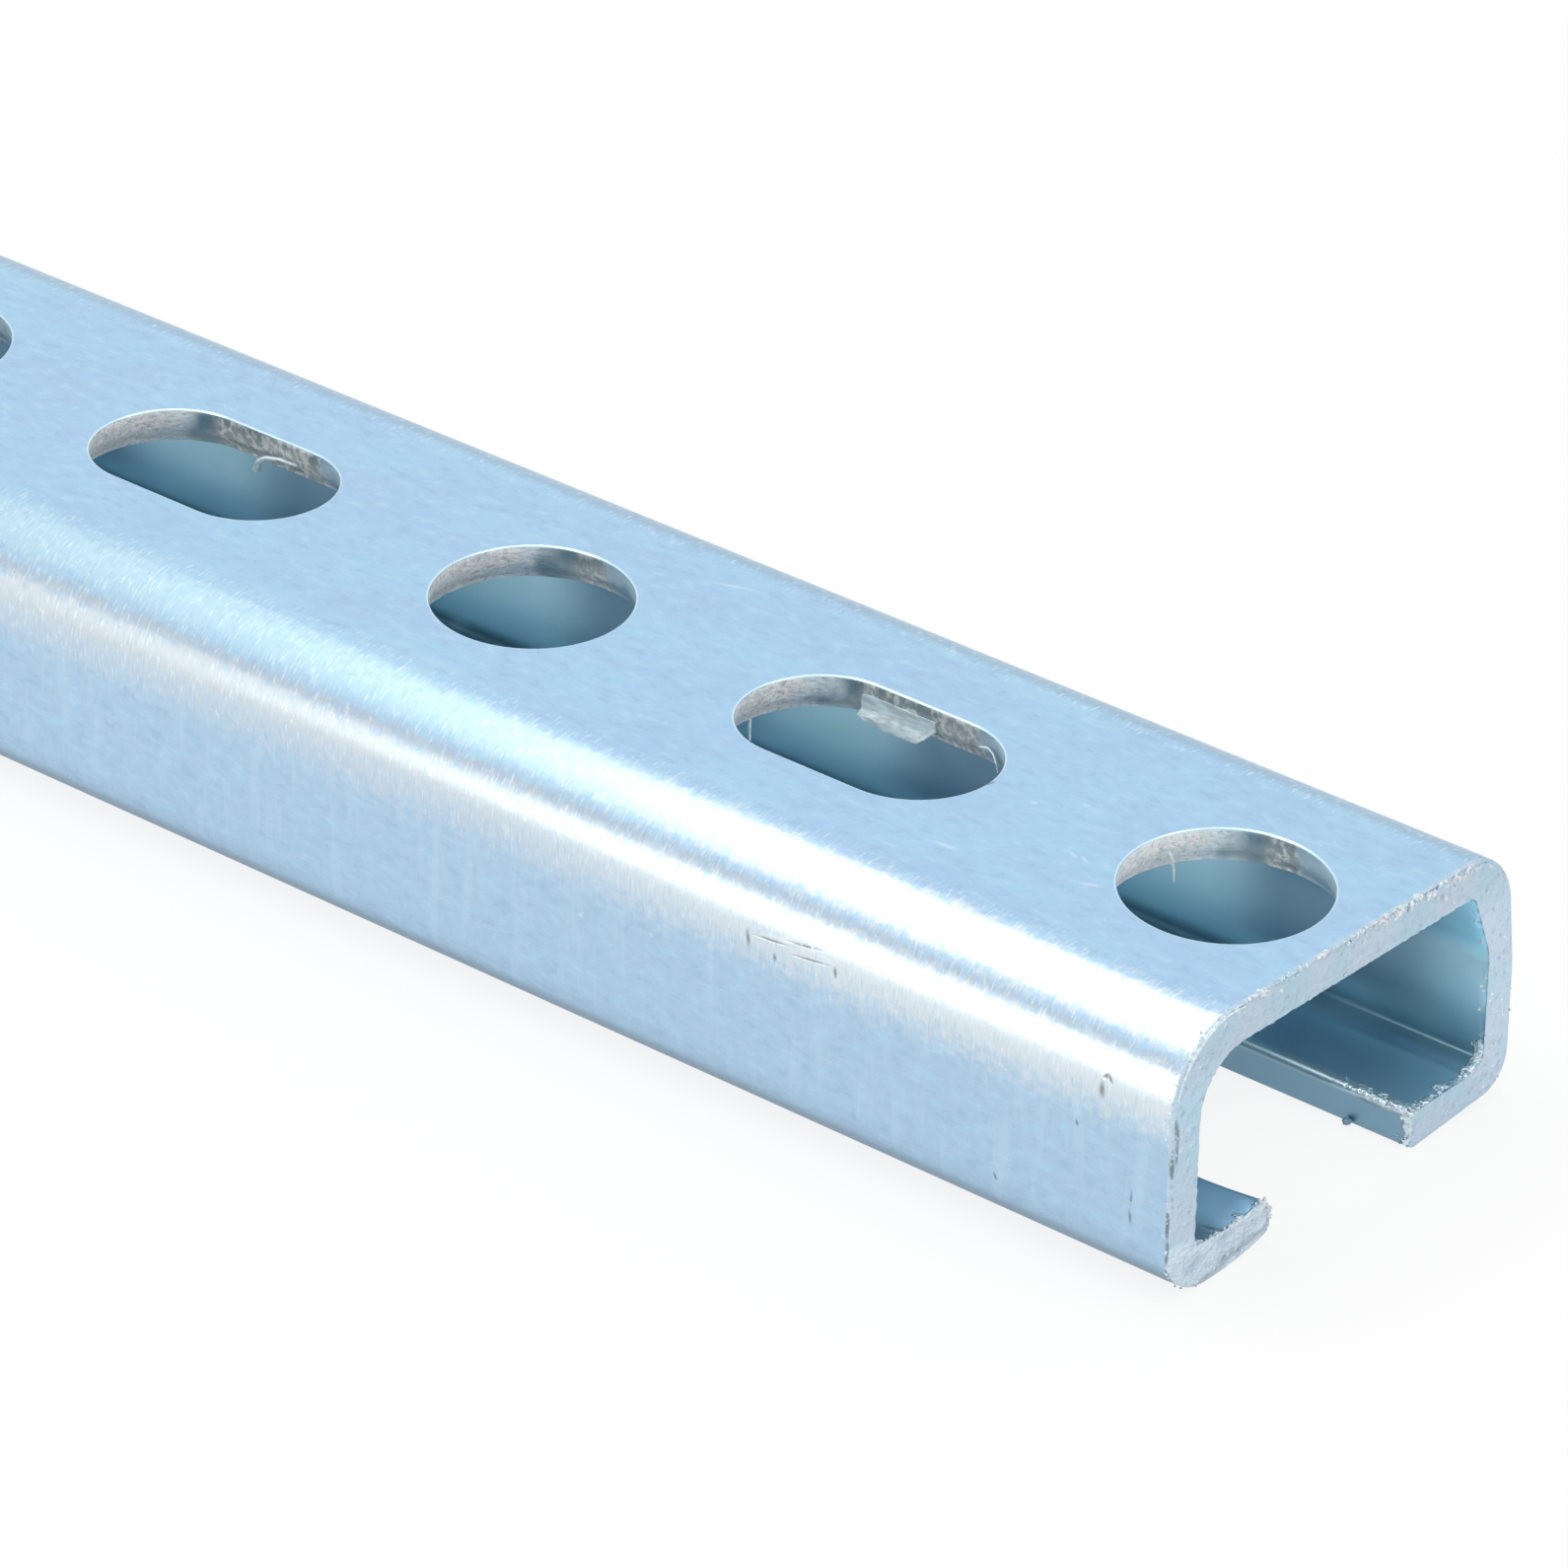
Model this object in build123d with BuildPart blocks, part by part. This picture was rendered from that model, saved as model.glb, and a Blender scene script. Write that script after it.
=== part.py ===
from build123d import *
import os

# Perforated C-channel: one roll-formed length of zinc-plated strip, lying with its web up and
# its two lips down. Millimetres. X runs along the rail, Y across it, and Z is up from the
# undersides of the lips. The origin is midway along the rail, on its centre plane, at the base.

# Rolled section
rail_length = 1000.0
rail_width = 28.0
rail_height = 15.0
wall = 2.25
mouth_width = 12.0
lip_rise = 0.4
web_bend_radius = 4.5
web_bend_inner_radius = 3.2
lip_bend_radius = 2.8
lip_bend_inner_radius = 0.3
lip_tip_radius = 0.5

# Perforation along the middle of the web: a round hole first, then slots and rounds by turns
end_distance = 7.75
hole_pitch = 23.0
round_diameter = 11.0
slot_length = 15.0
slot_width = 9.0
rim_break = 0.25

# Places that follow from the sizes above
half_width = rail_width / 2
half_mouth = mouth_width / 2
inner_half_width = half_width - wall
web_underside = rail_height - wall
lip_root = half_width - lip_bend_radius
lip_face = lip_rise + wall

hole_count = int((rail_length - 2 * end_distance) // hole_pitch) + 1
first_hole = rail_length / 2 - end_distance
hole_places = [(first_hole - index * hole_pitch, 0) for index in range(hole_count)]
round_places = hole_places[0::2]
slot_places = hole_places[1::2]


def section_corners(y, z):
    """The two mirrored corners of the section at this distance from the middle and height."""
    corners = section.vertices()
    return [corner for corner in corners if abs(abs(corner.X) - y) < 0.01 and abs(corner.Y - z) < 0.01]


with BuildPart() as channel:
    # Half of the section, from the middle of the web out and round to the lip's tip and back
    with BuildSketch(Plane.YZ.offset(-rail_length / 2)) as section:
        with BuildLine() as outline:
            Polyline((0, rail_height), (half_width, rail_height), (half_width, lip_bend_radius))
            TangentArc((half_width, lip_bend_radius), (lip_root, 0), tangent=(0, -1))
            Polyline(
                (lip_root, 0),
                (half_mouth, lip_rise),
                (half_mouth, lip_face),
                (inner_half_width, lip_face),
                (inner_half_width, web_underside),
                (0, web_underside),
            )
            mirror(outline.edges(), about=Plane.YZ)
        make_face()
        fillet(section_corners(half_width, rail_height), web_bend_radius)
        fillet(section_corners(inner_half_width, web_underside), web_bend_inner_radius)
        fillet(section_corners(inner_half_width, lip_face), lip_bend_inner_radius)
        fillet(section_corners(half_mouth, lip_rise), lip_tip_radius)
        fillet(section_corners(half_mouth, lip_face), lip_tip_radius)
    extrude(amount=rail_length)

    # The holes are punched from the outside, which breaks the edge of each rim on the web's top
    with BuildSketch(Plane.XY.offset(rail_height)):
        with Locations(*round_places):
            Circle(round_diameter / 2)
        with Locations(*slot_places):
            SlotOverall(slot_length, slot_width)
    extrude(amount=-2 * wall, mode=Mode.SUBTRACT)
    web_top = channel.faces().sort_by(Axis.Z)[-1]
    chamfer(web_top.inner_wires().edges(), rim_break)

channel.part.label = "channel"

os.makedirs("parts", exist_ok=True)
export_step(channel.part, "parts/channel.step")
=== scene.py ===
import math
import random

import bmesh
import bpy
from bpy.props import FloatProperty, FloatVectorProperty, PointerProperty
from mathutils import Matrix, Vector


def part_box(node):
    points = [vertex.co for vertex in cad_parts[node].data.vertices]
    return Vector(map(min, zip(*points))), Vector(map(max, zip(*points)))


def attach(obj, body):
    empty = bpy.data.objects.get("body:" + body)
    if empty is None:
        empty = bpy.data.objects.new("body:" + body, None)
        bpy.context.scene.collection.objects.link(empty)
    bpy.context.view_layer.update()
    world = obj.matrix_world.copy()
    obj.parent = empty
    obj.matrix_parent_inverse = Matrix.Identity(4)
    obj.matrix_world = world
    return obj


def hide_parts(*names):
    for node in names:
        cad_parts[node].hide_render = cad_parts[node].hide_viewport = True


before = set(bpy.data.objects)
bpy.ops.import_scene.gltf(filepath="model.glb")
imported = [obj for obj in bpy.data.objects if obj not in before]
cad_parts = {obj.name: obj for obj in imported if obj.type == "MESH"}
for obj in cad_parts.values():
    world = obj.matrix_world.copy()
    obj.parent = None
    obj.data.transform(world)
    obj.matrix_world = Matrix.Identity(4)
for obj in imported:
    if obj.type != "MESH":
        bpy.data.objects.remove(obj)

bl_info = {
    "name": "Perforated C-channel",
    "version": (1, 0, 0),
    "blender": (4, 5, 0),
    "location": "3D View > Sidebar > C-channel",
    "description": "A zinc-plated framing rail with a row of punched holes, on a pale floor",
    "category": "Add Mesh",
}

MM = 0.001
LOW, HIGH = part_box("channel")
# The rail's end and top in millimetres
END, TOP = HIGH.x / MM, HIGH.z / MM


# Sizes and colours


class RailSizes(bpy.types.PropertyGroup):
    """The rolled section, its length and its row of holes."""

    length: FloatProperty(name="Length", description="Length of the rail", default=HIGH.x - LOW.x, unit="LENGTH")
    width: FloatProperty(name="Width", description="Across both flanges", default=HIGH.y - LOW.y, unit="LENGTH")
    height: FloatProperty(name="Height", description="From the lips to the web", default=HIGH.z - LOW.z, unit="LENGTH")
    wall: FloatProperty(name="Wall", description="Thickness of the strip", default=2.25 * MM, unit="LENGTH")
    web_bend: FloatProperty(name="Web bend", description="Outer radius at the web", default=4.5 * MM, unit="LENGTH")
    end_distance: FloatProperty(
        name="End distance", description="From the end to the first hole's middle", default=7.75 * MM, unit="LENGTH"
    )
    pitch: FloatProperty(name="Pitch", description="From one hole to the next", default=23.0 * MM, unit="LENGTH")
    round_diameter: FloatProperty(
        name="Round hole", description="Diameter of a round hole", default=11.2 * MM, unit="LENGTH"
    )
    slot_length: FloatProperty(name="Slot length", description="Length of a slot", default=15.2 * MM, unit="LENGTH")
    slot_width: FloatProperty(name="Slot width", description="Width of a slot", default=9.05 * MM, unit="LENGTH")
    row_shift: FloatProperty(
        name="Row shift", description="How far the row of holes lies off the middle", default=-0.16 * MM, unit="LENGTH"
    )
    rim_roll: FloatProperty(
        name="Rim roll", description="Radius that the punch leaves on a rim", default=0.11 * MM, unit="LENGTH"
    )
    breakout: FloatProperty(
        name="Breakout", description="How far a hole widens towards the underside", default=0.8 * MM, unit="LENGTH"
    )
    tear: FloatProperty(
        name="Tear", description="Depth of the torn metal in a hole's wall", default=0.12 * MM, unit="LENGTH"
    )
    end_roll: FloatProperty(
        name="End roll", description="Radius that the shear leaves round the outside", default=0.22 * MM, unit="LENGTH"
    )
    crumble: FloatProperty(
        name="Crumble", description="Depth of the crumbled edge of a cut end", default=0.2 * MM, unit="LENGTH"
    )


class RailFinish(bpy.types.PropertyGroup):
    """The colours of the zinc plate, some of which carry painted highlight and shade."""

    plate: FloatVectorProperty(
        name="Plate", description="Zinc plate on the flat faces", default=(0.40, 0.635, 0.84), subtype="COLOR"
    )
    haze: FloatVectorProperty(
        name="Haze", description="Patches of duller plate", default=(0.40, 0.60, 0.825), subtype="COLOR"
    )
    side: FloatVectorProperty(
        name="Side", description="Greyer plate down the flanges", default=(0.445, 0.615, 0.785), subtype="COLOR"
    )
    pale: FloatVectorProperty(
        name="Pale patches", description="Paler patches beside the bends", default=(0.44, 0.67, 0.85), subtype="COLOR"
    )
    # The burnished and rubbed colours are paler plate, and on the bend's two bands they also carry painted highlight
    burnished: FloatVectorProperty(
        name="Burnished plate",
        description="Plate rubbed bright by the rolls",
        default=(0.50, 0.71, 0.83),
        subtype="COLOR",
    )
    rubbed: FloatVectorProperty(
        name="Rubbed plate",
        description="Plate rubbed to plain silver low on the bend",
        default=(0.69, 0.77, 0.82),
        subtype="COLOR",
    )
    inside: FloatVectorProperty(
        name="Inside plate", description="Thin plate inside the section", default=(0.55, 0.87, 0.95), subtype="COLOR"
    )
    inside_blue: FloatVectorProperty(
        name="Inside, bluer",
        description="Bluer clouds of the inside plate",
        default=(0.52, 0.80, 0.93),
        subtype="COLOR",
    )
    # Slate: painted shade inside the section beyond each hole; it also colours the lips' inner edges
    inside_slate: FloatVectorProperty(
        name="Inside, slate",
        description="Darker inside plate beyond each hole",
        default=(0.25, 0.42, 0.54),
        subtype="COLOR",
    )
    lip_blue: FloatVectorProperty(
        name="Lip blue", description="Deeper blue on the near lip", default=(0.42, 0.74, 1.0), subtype="COLOR"
    )
    cut: FloatVectorProperty(
        name="Cut end", description="Plate over the sheared end", default=(0.575, 0.69, 0.81), subtype="COLOR"
    )
    cut_blue: FloatVectorProperty(
        name="Bluer patches",
        description="Bluer patches of the sheared end",
        default=(0.50, 0.69, 0.81),
        subtype="COLOR",
    )
    roughness: FloatProperty(
        name="Roughness", description="Roughness of the plate", default=0.3, min=0.0, max=1.0, subtype="FACTOR"
    )


class StageLook(bpy.types.PropertyGroup):
    """The floor and the camera."""

    azimuth: FloatProperty(
        name="Azimuth", description="Camera's turn about the rail", default=math.radians(39.94), subtype="ANGLE"
    )
    elevation: FloatProperty(
        name="Elevation", description="Camera's height above the floor", default=math.radians(28.806), subtype="ANGLE"
    )
    roll: FloatProperty(name="Roll", description="Camera's roll", default=math.radians(0.967), subtype="ANGLE")
    distance: FloatProperty(
        name="Distance", description="From the camera to what it looks at", default=428.4 * MM, unit="LENGTH"
    )
    target: FloatVectorProperty(
        name="Target",
        description="What the camera looks at, near the end of the rail",
        default=(472.349 * MM, -10.528 * MM, 17.602 * MM),
        subtype="TRANSLATION",
        unit="LENGTH",
    )
    lens: FloatProperty(name="Lens", description="Focal length in millimetres", default=197.86)
    sensor: FloatProperty(name="Sensor", description="Width of the sensor in millimetres", default=36.0)
    floor_size: FloatProperty(name="Floor size", description="Side of the floor", default=60.0, unit="LENGTH")


# The corners of the rolled section on either side, from the web's top round the flange and lip and back
# inside: distance from the middle, height and radius in millimetres. The rolls left the far flange leaning
# in at its top and the far lip a little open.
NEAR_SIDE = (
    (14.0, 15.0, 4.5),
    (14.0, 0.0, 3.2),
    (5.75, 0.1, 0.55),
    (5.75, 2.25, 0.6),
    (11.75, 2.6, 0.3),
    (11.75, 12.75, 3.2),
)
FAR_SIDE = (
    (13.07, 15.0, 4.0),
    (14.0, 7.6, 8.0),
    (14.0, 0.6, 2.1),
    (5.95, 0.0, 0.3),
    (5.85, 2.2, 0.35),
    (10.4, 2.3, 1.0),
    (11.8, 2.8, 0.3),
    (11.8, 8.9, 3.0),
    (10.25, 12.75, 0.5),
)


# Modelling helpers


def start_mesh(name):
    """An empty mesh object at the origin, in edit mode, that takes primitives at their places."""
    if bpy.context.object and bpy.context.object.mode != "OBJECT":
        bpy.ops.object.mode_set(mode="OBJECT")
    bpy.ops.object.select_all(action="DESELECT")
    bpy.ops.object.add(type="MESH", enter_editmode=True, location=(0, 0, 0))
    piece = bpy.context.object
    piece.name = piece.data.name = name
    return piece


def end_edit():
    bpy.ops.object.mode_set(mode="OBJECT")


def pick(kind, test):
    """Selects only the vertices, edges or faces of the mesh in edit mode that pass a test."""
    bpy.ops.mesh.select_all(action="DESELECT")
    bpy.ops.mesh.select_mode(type=kind)
    mesh = bmesh.from_edit_mesh(bpy.context.edit_object.data)
    found = [item for item in {"VERT": mesh.verts, "EDGE": mesh.edges, "FACE": mesh.faces}[kind] if test(item)]
    for item in found:
        item.select_set(True)
    bmesh.update_edit_mesh(bpy.context.edit_object.data)
    return len(found)


def pick_all():
    bpy.ops.mesh.select_all(action="SELECT")


def near(a, b, within=1e-6):
    return abs(a - b) < within


def middle(item):
    """The middle of an edge or a face."""
    return sum((v.co for v in item.verts), Vector()) / len(item.verts)


def extrude(offset):
    bpy.ops.mesh.extrude_region_move(TRANSFORM_OT_translate={"value": offset})


def resize(value, about):
    bpy.ops.transform.resize(value=value, center_override=about)


def shift(offset):
    bpy.ops.transform.translate(value=offset)


def turn_about(axis, angle, about):
    bpy.ops.transform.rotate(value=angle, orient_axis=axis, center_override=about)


def cut(place, facing):
    """Cuts what is selected along a plane, and leaves both sides."""
    bpy.ops.mesh.bisect(plane_co=place, plane_no=facing, threshold=0.02 * MM)


def apply_modifier(piece, kind, **settings):
    modifier = piece.modifiers.new(kind.title(), kind)
    for key, value in settings.items():
        setattr(modifier, key, value)
    bpy.context.view_layer.objects.active = piece
    bpy.ops.object.modifier_apply(modifier=modifier.name)


def on_edge(vert):
    """Whether a vertex of an end face is on its outline."""
    return any(abs(edge.verts[0].co.x - edge.verts[1].co.x) > 0.01 * MM for edge in vert.link_edges)


def is_outside(place):
    """Whether a place on the end's outline is on the outside of the section."""
    return place.z > 13.4 * MM or abs(place.y) > 12.6 * MM or place.z < 0.9 * MM


def is_inside(place):
    """Whether a place is within the hollow of the section or on its faces."""
    return 1.2 * MM < place.z < 13 * MM and abs(place.y) < 12 * MM


def weigh(piece, group, weights):
    """Puts a vertex group's weights on the vertices of the mesh in edit mode, by a list of (weight, test)."""
    piece.vertex_groups.new(name=group)
    for weight, test in weights:
        if pick("VERT", test):
            bpy.context.scene.tool_settings.vertex_group_weight = weight
            bpy.ops.object.vertex_group_assign()


def roughen(piece, group, grain, depth, level):
    """Moves the weighted vertices in and out by a cloudy pattern with this grain."""
    texture = bpy.data.textures.new(group, "CLOUDS")
    texture.noise_scale = grain
    texture.noise_depth = 2
    apply_modifier(
        piece, "DISPLACE", texture=texture, texture_coords="LOCAL", vertex_group=group, strength=depth, mid_level=level
    )


def hole_places(sizes):
    """Where the holes are along X, from the near end, and whether each is round."""
    count = int((sizes.length - 2 * sizes.end_distance) / sizes.pitch) + 1
    first = sizes.length / 2 - sizes.end_distance
    return [(first - index * sizes.pitch, index % 2 == 0) for index in range(count)]


# Material helpers


def dimmed(colour, share):
    return [share * part for part in colour]


def degrees(*angles):
    return [math.radians(angle) for angle in angles]


class Nodes:
    """Short ways to add nodes to one tree. Each gives the new node's output."""

    def __init__(self, tree):
        self.tree = tree

    def set_inputs(self, made, inputs):
        for key, value in inputs.items():
            if isinstance(value, bpy.types.NodeSocket):
                self.tree.links.new(value, made.inputs[key])
            else:
                made.inputs[key].default_value = value

    def add(self, kind, inputs=None, **settings):
        """A node with its settings, and its inputs linked or set: all of its outputs."""
        made = self.tree.nodes.new("ShaderNode" + kind)
        for key, value in settings.items():
            setattr(made, key, value)
        self.set_inputs(made, inputs or {})
        return made.outputs

    def calc(self, operation, a, b=0.0, c=0.0):
        return self.add("Math", {0: a, 1: b, 2: c}, operation=operation)[0]

    def product(self, *factors):
        result = factors[0]
        for factor in factors[1:]:
            result = self.calc("MULTIPLY", result, factor)
        return result

    def largest(self, *values):
        result = values[0]
        for value in values[1:]:
            result = self.calc("MAXIMUM", result, value)
        return result

    def varied(self, value, pattern, amount):
        """A value moved up and down by a pattern that lies round a half."""
        return self.calc("MULTIPLY_ADD", self.calc("SUBTRACT", pattern, 0.5), amount, value)

    def mapped(self, at, scale, turn=(0, 0, 0), shift=(0, 0, 0), kind="POINT"):
        inputs = {"Vector": at, "Location": shift, "Rotation": turn, "Scale": scale}
        return self.add("Mapping", inputs, vector_type=kind)[0]

    def noise(self, at, scale, detail, rough, turn=(0, 0, 0)):
        """Noise of one scale, or of a scale for each axis of a turned pattern."""
        if isinstance(scale, tuple):
            at, scale = self.mapped(at, scale, turn), 1
        return self.add("TexNoise", {"Vector": at, "Scale": scale, "Detail": detail, "Roughness": rough})["Fac"]

    def ramp(self, fac, low, high, start=0.0, end=1.0):
        """Maps low..high of a value onto start..end, smoothly and clamped."""
        inputs = {"Value": fac, "From Min": low, "From Max": high, "To Min": start, "To Max": end}
        return self.add("MapRange", inputs, interpolation_type="SMOOTHSTEP")[0]

    def band(self, value, first, full, last, gone):
        """One between full and last, fading to nothing at first and gone."""
        return self.product(self.ramp(value, first, full), self.ramp(value, gone, last))

    def mix(self, fac, *colours):
        a, b = [c if isinstance(c, bpy.types.NodeSocket) else (*c, 1.0) for c in colours]
        return self.add("Mix", {0: fac, 6: a, 7: b}, data_type="RGBA")[2]

    def strokes(self, at, table):
        """Tapered marks on a flat pattern in millimetres, by a table of where each starts, ends and how wide it is."""
        marks = []
        for start, end, width in table:
            way = Vector(end) - Vector(start)
            centre = (Vector(start) + Vector(end)) / 2
            local = self.mapped(
                at, (way.length / 2, width / 2, 1), (0, 0, math.atan2(way.y, way.x)), (*centre, 0), kind="TEXTURE"
            )
            reach = self.add("VectorMath", {0: local}, operation="LENGTH")["Value"]
            marks.append(self.ramp(reach, 1.3, 0.2))
        return self.largest(*marks)


class Paint(Nodes):
    """A material in the making: where each point is, in metres and by axis in millimetres, and its colour so far."""

    def __init__(self, name, colour=None):
        self.mat = bpy.data.materials.new(name)
        self.mat.use_nodes = True
        super().__init__(self.mat.node_tree)
        self.coords = self.add("TexCoord")
        self.at = self.coords["Object"]
        scaled = self.add("VectorMath", {0: self.at, "Scale": 1 / MM}, operation="SCALE")[0]
        self.x, self.y, self.z = self.add("SeparateXYZ", {0: scaled})
        self.colour = colour

    def coat(self, mask, colour):
        """Lays a colour over what is there, as far as the mask goes."""
        self.colour = self.mix(mask, self.colour, colour)

    def done(self, roughness, *bumps, metallic=1.0):
        """The finished material, with bumps as patterns and their depths in millimetres."""
        inputs = {"Base Color": self.colour, "Roughness": roughness, "Metallic": metallic}
        for height, depth in bumps:
            layer = {"Strength": 1.0, "Distance": depth * MM, "Height": height}
            if "Normal" in inputs:
                layer["Normal"] = inputs["Normal"]
            inputs["Normal"] = self.add("Bump", layer)[0]
        self.set_inputs(self.tree.nodes["Principled BSDF"], inputs)
        return self.mat


# Marks on the plate near the photographed end: where each starts and ends on the flat strip, and its width
LIGHT_MARKS = (
    ((-15.7, -2.7), (-14.9, -3.0), 0.25), ((-15.0, -2.6), (-14.1, -3.1), 0.25), ((-18.1, 1.4), (-17.8, 1.7), 0.3),
    ((-13.3, -4.8), (-12.1, -4.4), 0.35), ((-21.4, -6.4), (-19.7, -6.3), 0.4), ((-47.9, 7.3), (-45.2, 8.2), 0.25),
    ((-20.3, -0.1), (-19.8, 0.1), 0.35), ((-38.2, -19.6), (-37.9, -19.3), 0.3), ((-33.4, -18.9), (-33.2, -18.7), 0.3),
    ((-25.8, -15.9), (-23.2, -15.6), 0.22), ((-22.6, -15.6), (-20.6, -16.2), 0.2),
)
DARK_MARKS = (
    ((-4.42, -15.85), (-4.35, -16.85), 0.42), ((-4.4, -15.75), (-4.05, -15.4), 0.26),
    ((-4.1, -15.4), (-3.8, -15.9), 0.18), ((-23.2, -0.3), (-22.9, 0.5), 0.3), ((-2.35, -21.2), (-2.4, -22.1), 0.14),
    ((-2.45, -22.3), (-2.35, -23.2), 0.17), ((-27.0, -16.0), (-26.8, -17.1), 0.3),
    ((-26.6, -16.2), (-24.3, -16.0), 0.16), ((-25.2, -16.7), (-25.1, -17.3), 0.22),
    ((-24.6, -15.8), (-22.2, -15.5), 0.14), ((-24.2, -16.4), (-21.6, -16.1), 0.15),
    ((-21.3, -16.0), (-21.2, -16.7), 0.26), ((-10.9, -23.6), (-10.7, -24.1), 0.2),
    ((-5.9, -18.6), (-5.8, -19.0), 0.18),
)
# Pits and a seam along the near edge of a cut end: across and up, in millimetres, and width
PITS = (
    ((-13.72, 10.7), (-13.5, 8.8), 0.36), ((-13.62, 9.4), (-13.55, 7.9), 0.26), ((-13.85, 9.0), (-13.85, 7.0), 0.26),
    ((-13.97, 5.9), (-13.97, 3.6), 0.13), ((-13.95, 4.2), (-13.9, 1.6), 0.13),
)
# Fine scratches in three directions: their turn, width and length, and the level of noise that shows them
SCRATCHES = ((0.35, 0.22, 2.4, 0.70), (-0.6, 0.25, 2, 0.71), (1.2, 0.22, 1.6, 0.71))

# Colours of single marks and patches, some of them painted highlight and shade: on the outside, inside, on a cut end
# and in a hole's wall
DRIPS = (0.50, 0.68, 0.83)
SCRATCHED = (0.62, 0.78, 0.88)
BAND_FOOT = (0.575, 0.68, 0.77)
DARK_GAP_SHADE = (0.46, 0.47, 0.48)
HAIR_STREAKS = (0.82, 0.94, 1.0)
RAIL_FOOT_SHADE = (0.24, 0.38, 0.50)
RIM_HIGHLIGHT = (0.70, 0.90, 0.98)
DARK_MARK = (0.20, 0.20, 0.21)
LIGHT_MARK = (0.85, 0.92, 0.96)
LIP_TOP = (0.45, 0.68, 0.84)
LIP_CORNER_SHADE = (0.14, 0.30, 0.37)
LIP_EDGE_HIGHLIGHT = (0.85, 1.0, 1.0)
RAGGED = (0.80, 0.93, 1.0)
SPECKS = (0.88, 0.92, 0.95)
LIP_SILVER = (0.76, 0.86, 0.92)
PIT = (0.20, 0.24, 0.27)
WALL_LIT_SILVER = ((1.0, 1.0, 1.0), (0.82, 0.87, 0.90))
WALL_LILAC = ((0.88, 0.97, 1.0), (0.74, 0.88, 0.98))
WALL_SHADED_SLATE = ((0.22, 0.36, 0.45), (0.30, 0.42, 0.46))
WALL_SHADED_GREY = ((0.34, 0.41, 0.43), (0.47, 0.53, 0.55))
WALL_FLECKS = (0.42, 0.47, 0.50)
WALL_TORN = (0.92, 0.91, 0.86)
WALL_NEAR = (0.44, 0.62, 0.74)
WALL_AWAY = (0.72, 0.92, 1.0)
UNDERSIDE_SHADE = (0.22, 0.36, 0.46)


def unrolled(paint, sizes):
    """The flat strip that was rolled, in millimetres along and across, its reach across alone, and the bend angle."""
    bend = sizes.web_bend / MM
    centre_y, centre_z = sizes.width / MM / 2 - bend, sizes.height / MM - bend
    across = paint.calc("ABSOLUTE", paint.y)
    turn = paint.calc(
        "ARCTAN2", paint.calc("SUBTRACT", across, centre_y), paint.calc("SUBTRACT", paint.z, centre_z)
    )
    flat = paint.calc("MINIMUM", across, centre_y)
    bent = paint.product(paint.calc("MINIMUM", paint.calc("MAXIMUM", turn, 0.0), math.pi / 2), bend)
    down = paint.calc("MAXIMUM", paint.calc("SUBTRACT", centre_z, paint.z), 0.0)
    reach = paint.calc("ADD", paint.calc("ADD", flat, bent), down)
    reach = paint.product(reach, paint.calc("SIGN", paint.y))
    return paint.add("CombineXYZ", {0: paint.x, 1: reach})[0], reach, turn


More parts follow.
